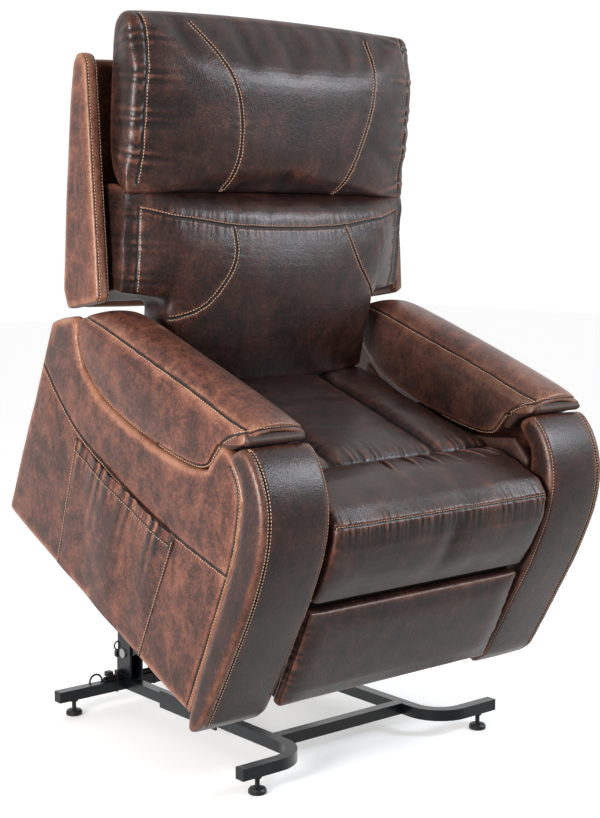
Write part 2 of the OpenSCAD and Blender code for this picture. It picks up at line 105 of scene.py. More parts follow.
def chair_matrix():
    """Turns and moves the level chair to where the frame holds it."""
    level = spot(0, *FOOTREST_AT) - spot(0, *RECLINE_AT)
    raised = PIVOTS["footrest"] - PIVOTS["recline"]
    tilt = math.atan2(raised.z, raised.y) - math.atan2(level.z, level.y)
    turn = Matrix.Rotation(tilt, 4, "X")
    return Matrix.Translation(PIVOTS["recline"] - turn @ spot(0, *RECLINE_AT)) @ turn


CHAIR = chair_matrix()


# ---------- user settings ----------

def tint(name, description, default):
    """A colour in the sidebar."""
    return FloatVectorProperty(name=name, description=description, subtype="COLOR", size=3,
                               default=default)


def length(name, description, default, low, high):
    """A length in the sidebar."""
    return FloatProperty(name=name, description=description, unit="LENGTH", default=default,
                         min=low, max=high)


class LeatherSettings(bpy.types.PropertyGroup):
    """Colours and grain of the leather, shared by its plain copy and its copy with painted shade."""
    deep: tint("Deep tone", "Darkest tone of the leather", (0.012, 0.0052, 0.0042))
    body: tint("Body tone", "Main tone of the leather", (0.058, 0.020, 0.014))
    warm: tint("Warm tone", "Reddish tone where the finish is rubbed", (0.168, 0.056, 0.034))
    scuff: tint("Scuff tone", "Lightest tone, on scuffs and worn edges", (0.330, 0.150, 0.088))
    pebble: length("Grain size", "Width of one pebble of the grain", 0.0021, 0.0005, 0.01)


class ThreadSettings(bpy.types.PropertyGroup):
    """The contrast stitching."""
    stitch: length("Stitch", "Length of one stitch", 0.0050, 0.002, 0.02)
    pitch: length("Pitch", "Distance from one stitch to the next", 0.0068, 0.003, 0.03)
    thick: length("Thread", "Thickness of the thread", 0.0020, 0.0005, 0.004)
    colour: tint("Thread colour", "Colour of the thread", (0.84, 0.52, 0.35))


class PaddingSettings(bpy.types.PropertyGroup):
    """How the padded pieces are filled."""
    voxel: length("Mesh size", "Mesh size of the cushions before they are filled", 0.006, 0.004, 0.012)
    pressure: FloatProperty(name="Pressure", description="Pressure that fills a cushion",
                            default=4.0, min=0.5, max=20.0)
    swell: length("Swell", "The most that a cushion's skin may move outwards", 0.024, 0.005, 0.04)
    frames: IntProperty(name="Frames", description="Frames that the filling takes",
                        default=20, min=5, max=40)


class StageSettings(bpy.types.PropertyGroup):
    """Camera and lights."""
    eye: FloatVectorProperty(name="Eye", description="Place of the camera", unit="LENGTH",
                             subtype="XYZ", size=3, default=(-2.129, -2.584, 1.121))
    heading: FloatProperty(name="Heading", description="Direction of view from the +Y axis towards +X",
                           subtype="ANGLE", default=math.radians(39.52))
    dip: FloatProperty(name="Dip", description="How far the camera looks down",
                       subtype="ANGLE", default=math.radians(6.70))
    lens: FloatProperty(name="Lens", description="Focal length on a 36 mm sensor, in millimetres",
                        default=67.4, min=20, max=200)
    key: FloatProperty(name="Key light", description="Power of the key light in watts",
                       default=130.0, min=0, max=2000)
    fill: FloatProperty(name="Fill light", description="Power of the cool front light in watts",
                        default=60.0, min=0, max=2000)


# ---------- shader tools ----------

class Signal:
    """A shader socket that adds Math nodes where it is used in an expression."""

    def __init__(self, recipe, socket):
        self.recipe = recipe
        self.socket = socket

    def _math(self, operation, *values):
        return self.recipe.node("ShaderNodeMath", {"operation": operation}, dict(enumerate(values)))

    def __add__(self, other):
        return self._math("ADD", self, other)

    def __radd__(self, other):
        return self._math("ADD", other, self)

    def __sub__(self, other):
        return self._math("SUBTRACT", self, other)

    def __mul__(self, other):
        return self._math("MULTIPLY", self, other)

    def clipped(self):
        """This value held between 0 and 1."""
        return self._math("MAXIMUM", self._math("MINIMUM", self, 1.0), 0.0)

    def between(self, low, high):
        """0 below low, 1 above high and a smooth ramp in between."""
        return self.recipe.node("ShaderNodeMapRange", {"interpolation_type": "SMOOTHSTEP"},
                                {"Value": self, "From Min": low, "From Max": high})


class Recipe:
    """A material being mixed: it owns the node tree and adds the nodes."""

    def __init__(self, name):
        self.material = bpy.data.materials.new(name)
        self.material.use_nodes = True
        self.tree = self.material.node_tree
        self.tree.nodes.clear()

    def node(self, kind, settings=None, inputs=None, output=0):
        """Adds a node, sets it up, fills its sockets and returns one of its outputs."""
        made = self.tree.nodes.new(kind)
        for key, value in (settings or {}).items():
            if key == "stops":
                ramp = made.color_ramp
                while len(ramp.elements) < len(value):
                    ramp.elements.new(0.5)
                for element, (place, colour) in zip(ramp.elements, value):
                    element.position = place
                    element.color = (*colour, 1.0)
            else:
                setattr(made, key, value)
        for key, value in (inputs or {}).items():
            socket = made.inputs[key]
            if isinstance(value, Signal):
                self.tree.links.new(value.socket, socket)
            elif hasattr(value, "__len__") and socket.type == "RGBA" and len(value) == 3:
                socket.default_value = (*value, 1.0)
            else:
                socket.default_value = value
        return Signal(self, made.outputs[output]) if len(made.outputs) else None

    def place(self, shift=(0, 0, 0), scale=(1, 1, 1), turn=(0, 0, 0)):
        """Object coordinates, moved, turned and stretched."""
        where = self.node("ShaderNodeTexCoord", output="Object")
        return self.node("ShaderNodeMapping", {},
                         {"Vector": where, "Location": shift, "Rotation": turn, "Scale": scale})

    def noise(self, where, scale, detail=4.0, rough=0.55, bend=0.0):
        """Fractal noise from 0 to 1."""
        return self.node("ShaderNodeTexNoise", {}, {"Vector": where, "Scale": scale, "Detail": detail,
                                                    "Roughness": rough, "Distortion": bend})

    def pebbles(self, where, scale, feature="F1"):
        """Cell pattern: the distance to the nearest cell's centre or edge."""
        return self.node("ShaderNodeTexVoronoi", {"feature": feature},
                         {"Vector": where, "Scale": scale, "Randomness": 0.9})

    def marked(self, name):
        """A number that the mesh carries."""
        return self.node("ShaderNodeAttribute", {"attribute_name": name}, output="Fac")

    def ramp(self, factor, stops):
        """A colour from a ramp of stops."""
        return self.node("ShaderNodeValToRGB", {"stops": stops}, {"Fac": factor})

    def mix(self, factor, first, second):
        """One colour laid over another."""
        return self.node("ShaderNodeMix", {"data_type": "RGBA"},
                         {"Factor": factor, 6: first, 7: second}, output=2)

    def bump(self, height, distance, strength=1.0, under=None):
        """A bump from a height, on top of another bump if there is one."""
        sockets = {"Height": height, "Distance": distance, "Strength": strength}
        if under is not None:
            sockets["Normal"] = under
        return self.node("ShaderNodeBump", {}, sockets)

    def finish(self, **sockets):
        """Ends the recipe in a Principled shader and returns the material."""
        named = {key.replace("_", " "): value for key, value in sockets.items()}
        shader = self.node("ShaderNodeBsdfPrincipled", {}, named)
        self.node("ShaderNodeOutputMaterial", {}, {"Surface": shader})
        return self.material


# ---------- materials ----------

def leather(name, settings, shift, glow, cool):
    """Distressed leather: cloudy tones, rubbed ridges, dark seams, painted shade and a fine pebble grain.

    The glow scales the scuffs, and cool, from 0 to 1, paints shade: it darkens the hide and takes its warmth away.
    """
    r = Recipe(name)
    here = r.place(shift)
    streaky = r.place(shift, (1.0, 1.0, 0.55), (math.radians(-24), 0, 0))
    clouds = r.noise(here, 7.0, 5.0, 0.62, 0.5)
    smears = r.noise(streaky, 24.0, 5.0, 0.68, 0.9)
    specks = r.noise(here, 170.0, 3.0, 0.6)
    ridge = r.marked("ridge")
    # The seam mark holds the dark grooves and also painted shade on undersides, inner faces and recesses.
    seam = r.marked("seam")
    broad = r.noise(here, 13.0, 6.0, 0.70, 0.8)
    # Painted shade: cool lowers the tone here and mixes the skin towards near-black below.
    tone = (clouds * 0.30 + broad * 0.42 + smears * 0.42 + specks * 0.34 + ridge * 0.24 - 0.24
            - 0.12 * cool)
    skin = r.ramp(tone.clipped(), [(0.30, settings.deep), (0.46, settings.body),
                                   (0.60, settings.warm), (0.80, settings.scuff)])
    painted_shade_skin = r.mix(0.30 * cool, skin, (0.010, 0.007, 0.007))
    scuffs = (r.noise(streaky, 60.0, 6.0, 0.75, 1.2) + ridge * 0.18).between(0.60, 0.80) * (0.34 * glow)
    worn = r.mix(scuffs, painted_shade_skin, settings.scuff)
    # Dark seams and painted shade: the seam mark mixes the colour towards near-black.
    colour = r.mix(seam.clipped() * 0.85, worn, (0.006, 0.0035, 0.003))
    grain = r.pebbles(here, 1 / settings.pebble, "SMOOTH_F1")
    creases = r.noise(here, 120.0, 5.0, 0.6, 0.6)
    soft = r.bump(creases, 0.0012, 0.5)
    fine = r.bump(grain, 0.0006, 0.7, soft)
    gloss = 0.22 + r.noise(here, 15.0, 4.0, 0.6) * 0.16 + specks * 0.12 + seam * 0.3
    return r.finish(Base_Color=colour, Roughness=gloss, Normal=fine, Specular_IOR_Level=0.5,
                    Coat_Weight=0.10, Coat_Roughness=0.30)


def thread(name, colour):
    """Twisted thread with a soft colour change along it."""
    r = Recipe(name)
    here = r.place()
    fibre = r.noise(here, 900.0, 2.0)
    patch = r.noise(here, 18.0, 3.0)
    dark = tuple(channel * 0.60 for channel in colour)
    shade = r.mix((patch * 0.9 + fibre * 0.5 - 0.25).clipped(), dark, tuple(colour))
    return r.finish(Base_Color=shade, Roughness=0.55 + fibre * 0.2, Normal=r.bump(fibre, 0.0003, 0.5))


def painted_steel(name):
    """Black powder-coated steel, with a slight orange peel and rubbed spots."""
    r = Recipe(name)
    here = r.place()
    peel = r.noise(here, 420.0, 3.0)
    dust = r.noise(here, 11.0, 6.0, 0.65)
    colour = r.mix(dust.between(0.45, 0.75) * 0.35, (0.003, 0.004, 0.006), (0.016, 0.019, 0.025))
    return r.finish(Base_Color=colour, Roughness=0.26 + dust * 0.18, Metallic=0.15,
                    Coat_Weight=0.35, Coat_Roughness=0.18, Normal=r.bump(peel, 0.0004, 0.35))


def zinc(name):
    """Bright zinc-plated steel with faint blooms and drawing lines."""
    r = Recipe(name)
    bloom = r.noise(r.place(), 30.0, 5.0, 0.6)
    lines = r.noise(r.place(scale=(0.05, 1.0, 1.0)), 900.0, 2.0)
    colour = r.mix(bloom.clipped(), (0.38, 0.39, 0.40), (0.62, 0.62, 0.60))
    return r.finish(Base_Color=colour, Metallic=0.95, Roughness=0.24 + lines * 0.18 + bloom * 0.08,
                    Normal=r.bump(lines, 0.0002, 0.3))


def moulded(name, colour, texture, gloss):
    """Moulded plastic with a fine spark-eroded texture."""
    r = Recipe(name)
    here = r.place()
    spark = r.noise(here, texture, 2.0, 0.7)
    wear = r.noise(here, 22.0, 5.0)
    lighter = tuple(channel * 1.9 + 0.004 for channel in colour)
    shade = r.mix(wear.between(0.5, 0.8) * 0.5, colour, lighter)
    return r.finish(Base_Color=shade, Roughness=gloss + wear * 0.16, Normal=r.bump(spark, 0.0004, 0.4))


def stained_ply(name):
    """Birch ply stained dark, with grain lines along its length."""
    r = Recipe(name)
    along = r.place(scale=(0.08, 1.0, 1.0))
    rings = r.noise(along, 90.0, 6.0, 0.6, 1.1)
    pores = r.noise(r.place(scale=(0.03, 1.0, 1.0)), 700.0, 2.0)
    colour = r.ramp(rings, [(0.30, (0.012, 0.008, 0.006)), (0.55, (0.022, 0.014, 0.010)),
                            (0.75, (0.034, 0.022, 0.015))])
    flecked = r.mix(pores.between(0.58, 0.72) * 0.5, colour, (0.008, 0.005, 0.004))
    return r.finish(Base_Color=flecked, Roughness=0.55 + rings * 0.15, Normal=r.bump(pores, 0.0004, 0.4))


def floor_paint(name):
    """Pale seamless studio floor, with a slight glow of its own."""
    r = Recipe(name)
    mottle = r.noise(r.place(), 1.5, 3.0)
    colour = r.mix(mottle.clipped(), (0.86, 0.86, 0.86), (0.90, 0.90, 0.90))
    return r.finish(Base_Color=colour, Roughness=0.55 + mottle * 0.1, Specular_IOR_Level=0.3,
                    Emission_Color=(1.0, 1.0, 1.0, 1.0), Emission_Strength=0.34)


MATERIALS = {}


def mix_materials(scene):
    """Makes every finish once."""
    hide, cotton = scene.recliner_leather, scene.recliner_thread
    MATERIALS["leather_outer"] = leather("leather_outer", hide, (0.31, 0.12, 0.47), 1.0, 0.0)
    # leather_front is the same leather as leather_outer with painted shade: cool at 1 darkens it and takes its
    # warmth away, and it has fewer scuffs.
    MATERIALS["leather_front"] = leather("leather_front", hide, (1.93, 0.71, 1.28), 0.45, 1.0)
    MATERIALS["thread"] = thread("thread", tuple(cotton.colour))
    MATERIALS["frame_steel"] = painted_steel("frame_steel")
    MATERIALS["zinc_steel"] = zinc("zinc_steel")
    MATERIALS["black_plastic"] = moulded("black_plastic", (0.010, 0.010, 0.011), 650.0, 0.38)
    MATERIALS["cable"] = moulded("cable", (0.008, 0.008, 0.009), 220.0, 0.45)
    MATERIALS["timber"] = stained_ply("timber")


# ---------- shaping tools ----------

def link(obj):
    """Adds a new object to the scene."""
    bpy.context.scene.collection.objects.link(obj)
    return obj


def baked(obj):
    """Replaces an object's mesh by what its modifiers make of it."""
    graph = bpy.context.evaluated_depsgraph_get()
    made = bpy.data.meshes.new_from_object(obj.evaluated_get(graph), depsgraph=graph)
    obj.modifiers.clear()
    old, obj.data = obj.data, made
    bpy.data.meshes.remove(old)
    return obj


def smooth_line(points, step=3.0, closed=False):
    """Evenly spaced points on a smooth curve through the given ones, as rows of numbers."""
    knots = np.array(points, float)
    count = len(knots)
    spans = count if closed else count - 1
    reach = (lambda i: knots[i % count]) if closed else (lambda i: knots[min(max(i, 0), count - 1)])
    rows = []
    for i in range(spans):
        a, b, c, d = reach(i - 1), reach(i), reach(i + 1), reach(i + 2)
        parts = max(2, int(np.linalg.norm(c - b) / step) + 1)
        for t in np.linspace(0, 1, parts, endpoint=False):
            rows.append(0.5 * (2 * b + (c - a) * t + (2 * a - 5 * b + 4 * c - d) * t ** 2
                               + (3 * b - a - 3 * c + d) * t ** 3))
    rows.append(knots[0] if closed else knots[-1])
    return even(np.array(rows), step)


def even(rows, step):
    """Spreads points evenly along a line of short straight stretches."""
    lengths = np.linalg.norm(np.diff(rows, axis=0), axis=1)
    along = np.concatenate([[0.0], np.cumsum(lengths)])
    count = max(2, int(along[-1] / step) + 1)
    wanted = np.linspace(0, along[-1], count)
    return np.stack([np.interp(wanted, along, rows[:, k]) for k in range(rows.shape[1])], axis=1)


def straight_line(points, step=3.0):
    """Evenly spaced points on the straight stretches between the given ones."""
    return even(np.array(points, float), step)


def profile_line(x, line):
    """A smooth line in the side profile, at one place across the chair."""
    return smooth_line([(x, f, h) for f, h in line])


class Seam:
    """A sewn line on a piece, with its groove, its rows of stitches and the puckers beside it."""

    def __init__(self, line, rows=(), depth=2.0, width=2.2, aim=(0, -1, 0), pucker=0.0, period=16.0,
                 reach=16.0, dark=1.0):
        self.line = line          # points across, forward and up
        self.rows = rows          # distance of each row of stitches from the line
        self.depth = depth        # depth of the groove
        self.width = width        # half width of the groove
        self.aim = aim            # direction in which the line is laid on the piece: across, forward, up
        self.pucker = pucker      # height of the puckers
        self.period = period      # distance between them
        self.reach = reach        # how far they run out
        self.dark = dark          # how dark the groove is

    def mirrored(self):
        """The same seam on the other side of the chair."""
        line = self.line * np.array([-1, 1, 1])
        return Seam(line, tuple(-row for row in self.rows), self.depth, self.width,
                    (-self.aim[0], self.aim[1], self.aim[2]), self.pucker, self.period, self.reach,
                    self.dark)


def ripple(s, period, seed):
    """Uneven waves along a seam, from -1 to 1."""
    a = 2 * math.pi * s / period
    return (np.sin(a + 1.7 * np.sin(a / 2.7 + seed)) * 0.6
            + np.sin(a * 0.53 + seed * 2.1 + 1.1 * np.sin(a / 4.3)) * 0.4)


class Piece:
    """One upholstered piece, shaped level in the chair's own axes and then put in place."""

    def __init__(self, name):
        scene = bpy.context.scene
        self.name = name
        self.padding, self.cotton = scene.recliner_padding, scene.recliner_thread
        self.shape = bmesh.new()
        self.obj = None
        self.stitches = []

    def slab(self, outline, x0, x1, edge=0.0, segments=3, curved=False):
        """Adds a side profile extruded across the chair, with its rims rounded."""
        bm = self.shape
        if curved:
            outline = smooth_line(outline, 11, closed=True)[:-1]
        ring = [bm.verts.new(spot(x0, f, h)) for f, h in outline]
        face = bm.faces.new(ring)
        grown = bmesh.ops.extrude_face_region(bm, geom=[face])["geom"]
        moved = [v for v in grown if isinstance(v, bmesh.types.BMVert)]
        bmesh.ops.translate(bm, verts=moved, vec=((x1 - x0) * MM, 0, 0))
        if edge:
            both = set(ring), set(moved)
            rims = [e for e in {e for v in ring + moved for e in v.link_edges}
                    if any(set(e.verts) <= side for side in both)]
            bmesh.ops.bevel(bm, geom=rims, offset=edge * MM, offset_type="OFFSET", segments=segments,
                            profile=0.5, affect="EDGES", material=-1, clamp_overlap=True)
        return self

    def skin(self, voxel, rounds=2):
        """Closes the slabs into one even skin and softens it."""
        bmesh.ops.recalc_face_normals(self.shape, faces=self.shape.faces)
        mesh = bpy.data.meshes.new(self.name)
        self.shape.to_mesh(mesh)
        self.shape.free()
        self.obj = link(bpy.data.objects.new(self.name, mesh))
        remesh = self.obj.modifiers.new("skin", "REMESH")
        remesh.mode = "VOXEL"
        remesh.voxel_size = voxel
        if rounds:
            relax = self.obj.modifiers.new("relax", "SMOOTH")
            relax.factor = 0.5
            relax.iterations = rounds
        baked(self.obj)
        return self

    def points(self):
        """Where the skin is: across, forward and up, in millimetres."""
        rows = np.empty(len(self.obj.data.vertices) * 3)
        self.obj.data.vertices.foreach_get("co", rows)
        rows = rows.reshape(-1, 3) / MM
        return rows * np.array([1, -1, 1])

    def set_points(self, rows):
        """Moves the skin to new places."""
        flat = (rows * np.array([1, -1, 1]) * MM).astype(np.float32).ravel()
        self.obj.data.vertices.foreach_set("co", flat)
        self.obj.data.update()

    def normals(self):
        """Outward directions of the skin."""
        rows = np.empty(len(self.obj.data.vertices) * 3)
        self.obj.data.vertex_normals.foreach_get("vector", rows)
        return rows.reshape(-1, 3) * np.array([1, -1, 1])

    def shrink(self, amount):
        """Draws the skin in, to leave room for the filling."""
        self.set_points(self.points() - self.normals() * amount)
        return self

    def bend(self, move):
        """Moves the skin by a function of where it is."""
        rows = self.points()
        self.set_points(rows + move(*rows.T))
        return self

    def swell(self, held, slack=0.0, share=1.0, calm=8):
        """Fills the piece like a cushion: cloth under pressure, with the held parts left in place."""
        obj, start, padding = self.obj, self.points(), self.padding
        cloth = obj.modifiers.new("filling", "CLOTH")
        settings = cloth.settings
        settings.quality = 4
        settings.mass = 0.3
        settings.tension_stiffness = settings.compression_stiffness = 18
        settings.shear_stiffness = 8
        settings.bending_stiffness = 2.5
        settings.use_pressure = True
        settings.uniform_pressure_force = padding.pressure
        settings.shrink_min = -slack
        settings.effector_weights.gravity = 0
        cloth.collision_settings.use_collision = False
        weights = np.round(np.clip(held(*start.T), 0, 1), 1)
        group = obj.vertex_groups.new(name="held")
        for level in np.unique(weights):
            if level > 0:
                group.add(np.nonzero(weights == level)[0].tolist(), float(level), "REPLACE")
        settings.vertex_group_mass = "held"
        settings.pin_stiffness = 0.6
        cloth.point_cache.frame_start = 1
        cloth.point_cache.frame_end = padding.frames
        scene = bpy.context.scene
        for count in range(1, padding.frames + 1):
            scene.frame_set(count)
        baked(obj)
        scene.frame_set(1)
        moved = self.soften(self.points() - start, calm)
        size = np.linalg.norm(moved, axis=1, keepdims=True) + 1e-9
        cap = padding.swell / MM * share
        self.set_points(start + moved * (cap * np.tanh(size / cap) / size))
        return self

    def divide(self):
        """Halves the mesh size and smooths the skin."""
        finer = self.obj.modifiers.new("finer", "SUBSURF")
        finer.levels = finer.render_levels = 1
        baked(self.obj)
        return self

    def near(self, seams):
        """For each point of the skin, the seam sample nearest to it: seam, distance and place along."""
        samples, owner, along = [], [], []
        for number, seam in enumerate(seams):
            line = even(np.array(seam.line, float), 1.5)
            samples.append(line)
            owner.append(np.full(len(line), number))
            along.append(np.arange(len(line)) * 1.5)
        samples, owner, along = map(np.concatenate, (samples, owner, along))
        tree = KDTree(len(samples))
        for index, row in enumerate(samples):
            tree.insert(row, index)
        tree.balance()
        found = [tree.find(row)[1:] for row in self.points()]
        index = np.array([item[0] for item in found])
        return owner[index], np.array([item[1] for item in found]), along[index]

    def surface(self):
        """A search tree of the skin."""
        mesh = self.obj.data
        return BVHTree.FromPolygons([v.co for v in mesh.vertices], [p.vertices for p in mesh.polygons])

    def laid(self, seam, tree, back=45.0):
        """A seam's line laid on the skin: points and outward directions, in metres."""
        aim = spot(*seam.aim).normalized()
        places, outs = [], []
        for row in seam.line:
            start = spot(*row)
            hit = tree.ray_cast(start - aim * back * MM, aim, 2 * back * MM)
            if hit[0] is None:
                hit = tree.find_nearest(start)
            places.append(hit[0])
            outs.append(hit[1])
        return places, outs

    def sew(self, seams, puff=0.0, spread=30.0):
        """Sinks the seams into the skin, lifts the leather between them, paints shade on faces that look down and
        notes where to stitch.
        """
        tree = self.surface()
        for seam in seams:
            places, _ = self.laid(seam, tree)
            seam.line = np.array([(p.x, -p.y, p.z) for p in places]) / MM
        owner, gap, along = self.near(seams)
        depth, width, pucker, period, reach, dark = (
            np.array([getattr(seam, key) for seam in seams])[owner]
            for key in ("depth", "width", "pucker", "period", "reach", "dark"))
        lift = puff * (1 - np.exp(-gap / spread)) - depth * np.exp(-(gap / width) ** 2)
        waves = pucker * ripple(along, period, owner * 1.9)
        lift += waves * np.exp(-gap / reach) * (1 - np.exp(-(gap / 3.0) ** 2))
        self.set_points(self.points() + self.normals() * lift[:, None])
        # Painted shade: faces that look down get the dark seam tone too.
        under = 0.8 * fade(-self.normals()[:, 2], 0.4, 0.9)
        self.mark("seam", np.maximum(dark * np.exp(-(gap / 2.0) ** 2), under))
        self.stitches += [seam for seam in seams if seam.rows]
        return self

    def mark(self, name, values):
        """Stores a number at each point of the skin, for the leather to read."""
        layer = self.obj.data.attributes.get(name)
        layer = layer or self.obj.data.attributes.new(name, "FLOAT", "POINT")
        layer.data.foreach_set("value", values.astype(np.float32))

    def soften(self, rows, rounds):
        """Averages numbers with those of the neighbouring points, some rounds over."""
        mesh = self.obj.data
        pairs = np.empty(len(mesh.edges) * 2, int)
        mesh.edges.foreach_get("vertices", pairs)
        a, b = pairs.reshape(-1, 2).T
        count = np.bincount(np.concatenate([a, b]), minlength=len(rows))[:, None]
        for _ in range(rounds):
            total = np.stack([np.bincount(a, rows[b, k], len(rows)) + np.bincount(b, rows[a, k], len(rows))
                              for k in range(3)], axis=1)
            rows = total / count
        return rows

    def wear(self, rounds=10, scale=1.1):
        """Marks the ridges, where leather rubs, and the hollows."""
        rows = self.points()
        lift = ((rows - self.soften(rows, rounds)) * self.normals()).sum(axis=1)
        self.mark("ridge", np.clip(lift / scale, -1, 1))
        return self

    def paint_shade_where(self, share):
        """Paints shade where a function of place says: the darkest tone, on top of the seams."""
        layer = self.obj.data.attributes["seam"].data
        marks = np.empty(len(layer), np.float32)
        layer.foreach_get("value", marks)
        self.mark("seam", np.maximum(marks, share(*self.points().T)))
        return self

    def shade(self, amount):
        """Paints shade over the whole skin: the leather takes its darkest tone."""
        self.mark("seam", np.full(len(self.obj.data.vertices), amount))
        return self

    def thread_mesh(self):
        """Every stitch of the piece, each a small spindle laid along its row."""
        tree, cotton = self.surface(), self.cotton
        bm = bmesh.new()
        bmesh.ops.create_uvsphere(bm, u_segments=5, v_segments=4, radius=0.5)
        spindle = bpy.data.meshes.new("spindle")
        bm.to_mesh(spindle)
        bm.clear()
        size = Matrix.Diagonal((cotton.thick, cotton.thick * 0.8, cotton.stitch, 1.0))
        for seam in self.stitches:
            places, outs = self.laid(seam, tree)
            for row in seam.rows:
                self.lay_row(bm, spindle, size, places, outs, row * MM, tree)
        bpy.data.meshes.remove(spindle)
        mesh = bpy.data.meshes.new(self.name + "_stitching")
        bm.to_mesh(mesh)
        bm.free()
        return mesh

    def lay_row(self, bm, spindle, size, places, outs, offset, tree):
        """Lays one row of stitches beside a seam."""
        line = []
        for i, (place, out) in enumerate(zip(places, outs)):
            ahead = places[min(i + 1, len(places) - 1)] - places[max(i - 1, 0)]
            beside = out.cross(ahead).normalized() * offset
            found = tree.find_nearest(place + beside + out * 0.002)
            if found[0] is not None:
                line.append((*found[0], *found[1]))
        rows = spaced(np.array(line), self.cotton.pitch)
        for here, after in zip(rows[:-1], rows[1:]):
            middle, out = Vector((here[:3] + after[:3]) / 2), Vector(here[3:]).normalized()
            along = Vector(after[:3] - here[:3]).normalized()
            side = along.cross(out).normalized()
            turn = Matrix((side, out, along)).transposed().to_4x4()
            lift = Matrix.Translation(middle + out * self.cotton.thick * 0.3)
            copy = spindle.copy()
            copy.transform(lift @ turn @ size)
            bm.from_mesh(copy)
            bpy.data.meshes.remove(copy)

    def place(self, material, body, nodes=(), slot=None, fill=None):
        """Puts the finished piece and its stitching where the frame has them."""
        made = [self.obj]
        if self.stitches:
            stitching = link(bpy.data.objects.new(self.name + "_stitching", self.thread_mesh()))
            stitching.data.materials.append(MATERIALS["thread"])
            made.append(stitching)
        self.obj.data.materials.clear()
        self.obj.data.materials.append(MATERIALS[material])
        for obj in made:
            obj.data.transform(CHAIR)
            obj.data.shade_smooth()
            obj.vertex_groups.clear()
            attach(obj, body)
        if nodes:
            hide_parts(*nodes)
        return made

    def mirror(self, name):
        """The same piece for the other side of the chair."""
        other = Piece(name)
        other.obj = link(bpy.data.objects.new(name, self.obj.data.copy()))
        other.obj.data.transform(Matrix.Scale(-1, 4, (1, 0, 0)))
        other.obj.data.flip_normals()
        other.stitches = [seam.mirrored() for seam in self.stitches]
        return other

    def pair(self, material, body, fill=None):
        """Puts the piece on the right of the chair and its mirror image on the left."""
        other = self.mirror(self.name.replace("right", "left"))
        for piece in (self, other):
            piece.place(material, body, [piece.name.removesuffix("_leather")], material, fill)


def spaced(rows, step):
    """Points a step apart along a line whose rows also carry a direction."""
    lengths = np.linalg.norm(np.diff(rows[:, :3], axis=0), axis=1)
    along = np.concatenate([[0.0], np.cumsum(lengths)])
    wanted = np.arange(0, along[-1], step)
    return np.stack([np.interp(wanted, along, rows[:, k]) for k in range(rows.shape[1])], axis=1)


def gap_to(f, h, line):
    """Distance of each point from a line in the side profile."""
    p = np.stack([f, h], axis=1)
    best = np.inf
    for a, b in zip(np.array(line[:-1], float), np.array(line[1:], float)):
        t = np.clip(((p - a) @ (b - a)) / ((b - a) @ (b - a)), 0, 1)
        best = np.minimum(best, np.linalg.norm(p - a - t[:, None] * (b - a), axis=1))
    return best


def bell(gap, width):
    """1 on a line, falling smoothly to 0 beside it."""
    return np.exp(-(gap / width) ** 2)


def fade(value, low, high):
    """0 below low, 1 above high and a smooth step in between."""
    t = np.clip((value - low) / (high - low), 0, 1)
    return t * t * (3 - 2 * t)


def shift(x=0.0, f=0.0, h=0.0):
    """Rows of movement from movements across, forward and up."""
    size = max(np.size(x), np.size(f), np.size(h))
    return np.stack([np.broadcast_to(part, size) for part in (x, f, h)], axis=1)


def across(f, h, half, step=3.0):
    """A straight line across the chair at one profile point."""
    return straight_line([(-half, f, h), (half, f, h)], step)


# ---------- the pieces ----------

